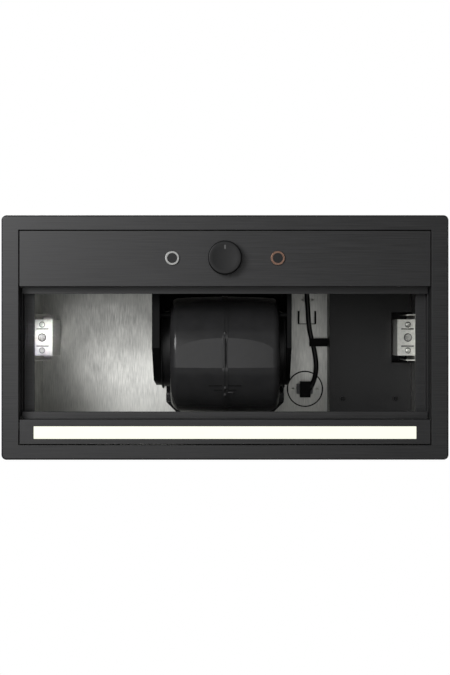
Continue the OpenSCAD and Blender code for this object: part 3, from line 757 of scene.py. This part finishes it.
# snap clips along the seam, two ribs across it, and an ear at each side of the mouth
for clip_name, clip_t in (("clip_front", 75), ("clip_lower", 128), ("clip_rear", 136)):
    clip_y, clip_z = (v / MM for v in on_spiral(clip_t))
    lump(clip_name, (-2.6, clip_y - 3.4, clip_z - 1.8), (2.6, clip_y + 3.4, clip_z + 3.0), 1.3)
ear_y, ear_z = (v / MM for v in on_spiral(134))
lump("clip_ear", (2.0, ear_y - 1.6, ear_z - 1.2), (12.0, ear_y + 1.6, ear_z + 3.0), 0.9)
for rib_name, rib_t, reach in (("rib_front", 126, 23.0), ("rib_rear", 131, 16.0)):
    rib_y, rib_z = (v / MM for v in on_spiral(rib_t))
    lump(rib_name, (-reach, rib_y - 0.8, rib_z - 0.5), (reach, rib_y + 0.8, rib_z + 2.5), 0.4,
         "deep_black", taper=0.85)
for ear_name, side in (("ear_left", -1), ("ear_right", 1)):
    x0, x1 = sorted((side * 62.0, side * 77.5))
    lump(ear_name, (x0, 71.0, 150.0), (x1, 84.0, 158.0), 1.6, taper=0.92)


def outlet_flange():
    """The flange round the casing's mouth, cut across at its two rear corners."""
    half, front, rear = 79.0 * MM, 58.0 * MM, 108.0 * MM
    low, high = 199.0 * MM, 204.4 * MM
    corner_y = 87.0 * MM
    mouth_y, mouth_size = 60.0 * MM, (134.0 * MM, 66.0 * MM, 20.0 * MM)
    plate = start("cube", size=1.0, location=(0.0, (front + rear) / 2, (low + high) / 2))
    plate.scale = (2 * half, rear - front, high - low)
    settle(plate)
    for side in (-1.0, 1.0):
        edit(plate, "SELECT")
        bpy.ops.mesh.bisect(plane_co=(side * half, corner_y, 0.0), plane_no=(side, 1.0, 0.0),
                            clear_outer=True, use_fill=True)
        done()
    mouth = start("cube", size=1.0, location=(0.0, mouth_y, (low + high) / 2))
    mouth.scale = mouth_size
    settle(mouth)
    cut(plate, mouth, "DIFFERENCE")
    modify(plate, "BEVEL", width=0.6 * MM, segments=2, limit_method="ANGLE", angle_limit=math.radians(30.0))
    tidy_normals(plate)
    smooth(plate)
    hand_over(plate, "outlet_flange", "deep_black")


outlet_flange()


# ---------------------------------------------------------------- blower lead
LEAD_R = 3.2 * MM
# out of the connector, along under the ceiling past the clip, then down the front wall to the control box
LEAD_ROUTE = (
    (112, 70, 190), (116, 65, 191), (120, 57, 194), (122.5, 46, 198), (123, 36, 200), (121.5, 23, 201),
    (119, 11, 201), (116, 0, 201), (113, -16, 201), (112, -34, 201), (111, -50, 201), (110, -66, 199),
    (108, -80, 191), (104, -88, 178), (99, -91, 162), (94, -92, 144), (90, -93, 124), (87, -94, 104),
    (85, -94, 84), (84, -94, 64), (84, -94, 36))


def smooth_lead():
    """The lead as one round sheath on a smooth curve from its connector to the control box."""
    curve = bpy.data.curves.new("lead_route", "CURVE")
    curve.dimensions = "3D"
    curve.bevel_depth, curve.bevel_resolution = LEAD_R, 7
    curve.resolution_u, curve.use_fill_caps = 6, True
    route = curve.splines.new("NURBS")
    route.points.add(len(LEAD_ROUTE) - 1)
    for point, place in zip(route.points, LEAD_ROUTE):
        point.co = (*(v * MM for v in place), 1.0)
    route.order_u, route.use_endpoint_u = 4, True
    lead = bpy.data.objects.new("lead_route", curve)
    bpy.context.scene.collection.objects.link(lead)
    only(lead)
    bpy.ops.object.convert(target="MESH")
    lead = bpy.context.object
    tidy_normals(lead)
    smooth(lead, 60.0)
    hand_over(lead, "blower_lead_sheath", "sheath", NODE_BODY["blower_lead"],
              ["blower_lead"])


smooth_lead()


# ---------------------------------------------------------------- control rings, gasket and pressed bridge
def flat_ring(name, centre, radius, thick, tall, finish):
    """A round ring drawn from a torus and flattened to its section."""
    ring = start("torus", major_radius=radius * MM, minor_radius=thick * MM / 2, major_segments=96,
                 minor_segments=20, location=(0.0, 0.0, 0.0))
    edit(ring, "SELECT")
    bpy.ops.transform.resize(value=(1.0, 1.0, tall / thick), center_override=(0.0, 0.0, 0.0))
    bpy.ops.transform.translate(value=[c * MM for c in centre])
    settle(ring)
    smooth(ring, 60.0)
    hand_over(ring, name, finish)


for ring_name, node_name, ring_finish, ring_slot in (
        ("light_ring_bead", "light_button_ring", "silver", "ring_silver"),
        ("boost_ring_bead", "boost_button_ring", "copper", "ring_copper")):
    centre = middle(node_name) / MM
    lip = corners(node_name)[0].z / MM
    flat_ring(ring_name, (centre.x, centre.y, lip + 1.0), 7.3, 2.2, 1.9, ring_finish)

plate = middle("socket_plate") / MM
plate_z = corners("socket_plate")[0].z / MM
flat_ring("socket_plate_gasket", (plate.x, plate.y, plate_z + 0.4), 23.5, 1.9, 1.3, "deep_black")
# dark strips of painted shade in the slots that free a pressed bridge in the ceiling, over which the lead passes
for line_name, lo, hi in (
        ("bridge_slot_shade_left", (98.4, -35.9, 204.6), (100.6, -18.0, 205.3)),
        ("bridge_slot_shade_right", (120.9, -35.9, 204.6), (123.1, -18.0, 205.3)),
        ("bridge_slot_shade_rear", (100.0, -18.9, 204.6), (121.5, -17.9, 205.3))):
    block(line_name, lo, hi, 0.15, "deep_black")


# ---------------------------------------------------------------- clamps and cover
def clamp_marks(side):
    """Dark strips of painted shade for the slots beside a bracket's pressed tongue, and the dark rings round its
    screws.
    """
    outer, inner = 7.4, 8.3
    slot_off, slot_half = 11.0, 0.6
    ring_off, ring_r, middle_r = 16.6, 3.4, 4.8
    face_z = corners("clamp_bracket_" + side)[0].z / MM
    screw = middle("clamp_screw_" + side) / MM
    outward = math.copysign(1.0, screw.x)
    x0, x1 = sorted((screw.x + outward * outer, screw.x - outward * inner))
    for end, way in (("front", -1.0), ("rear", 1.0)):
        slot_y = screw.y + way * slot_off
        # each slot is a thin black strip on the bracket's face: painted shade where the slot is
        block(f"clamp_slot_shade_{side}_{end}", (x0, slot_y - slot_half, face_z - 0.06),
              (x1, slot_y + slot_half, face_z + 0.9), 0.08, "deep_black")
        flat_ring(f"clamp_ring_{side}_{end}", (screw.x, screw.y + way * ring_off, face_z), ring_r, 0.6, 0.3,
                  "black_zinc")
    flat_ring(f"clamp_ring_{side}_middle", (screw.x, screw.y, face_z), middle_r, 0.9, 0.4, "deep_black")


clamp_marks("left")
clamp_marks("right")

# a black inner sheet closes the electronics cover behind the right clamp
block("cover_pocket", (206.0, -40.0, 198.0), (245.4, 40.0, 199.2), 0.3, "black_paint")
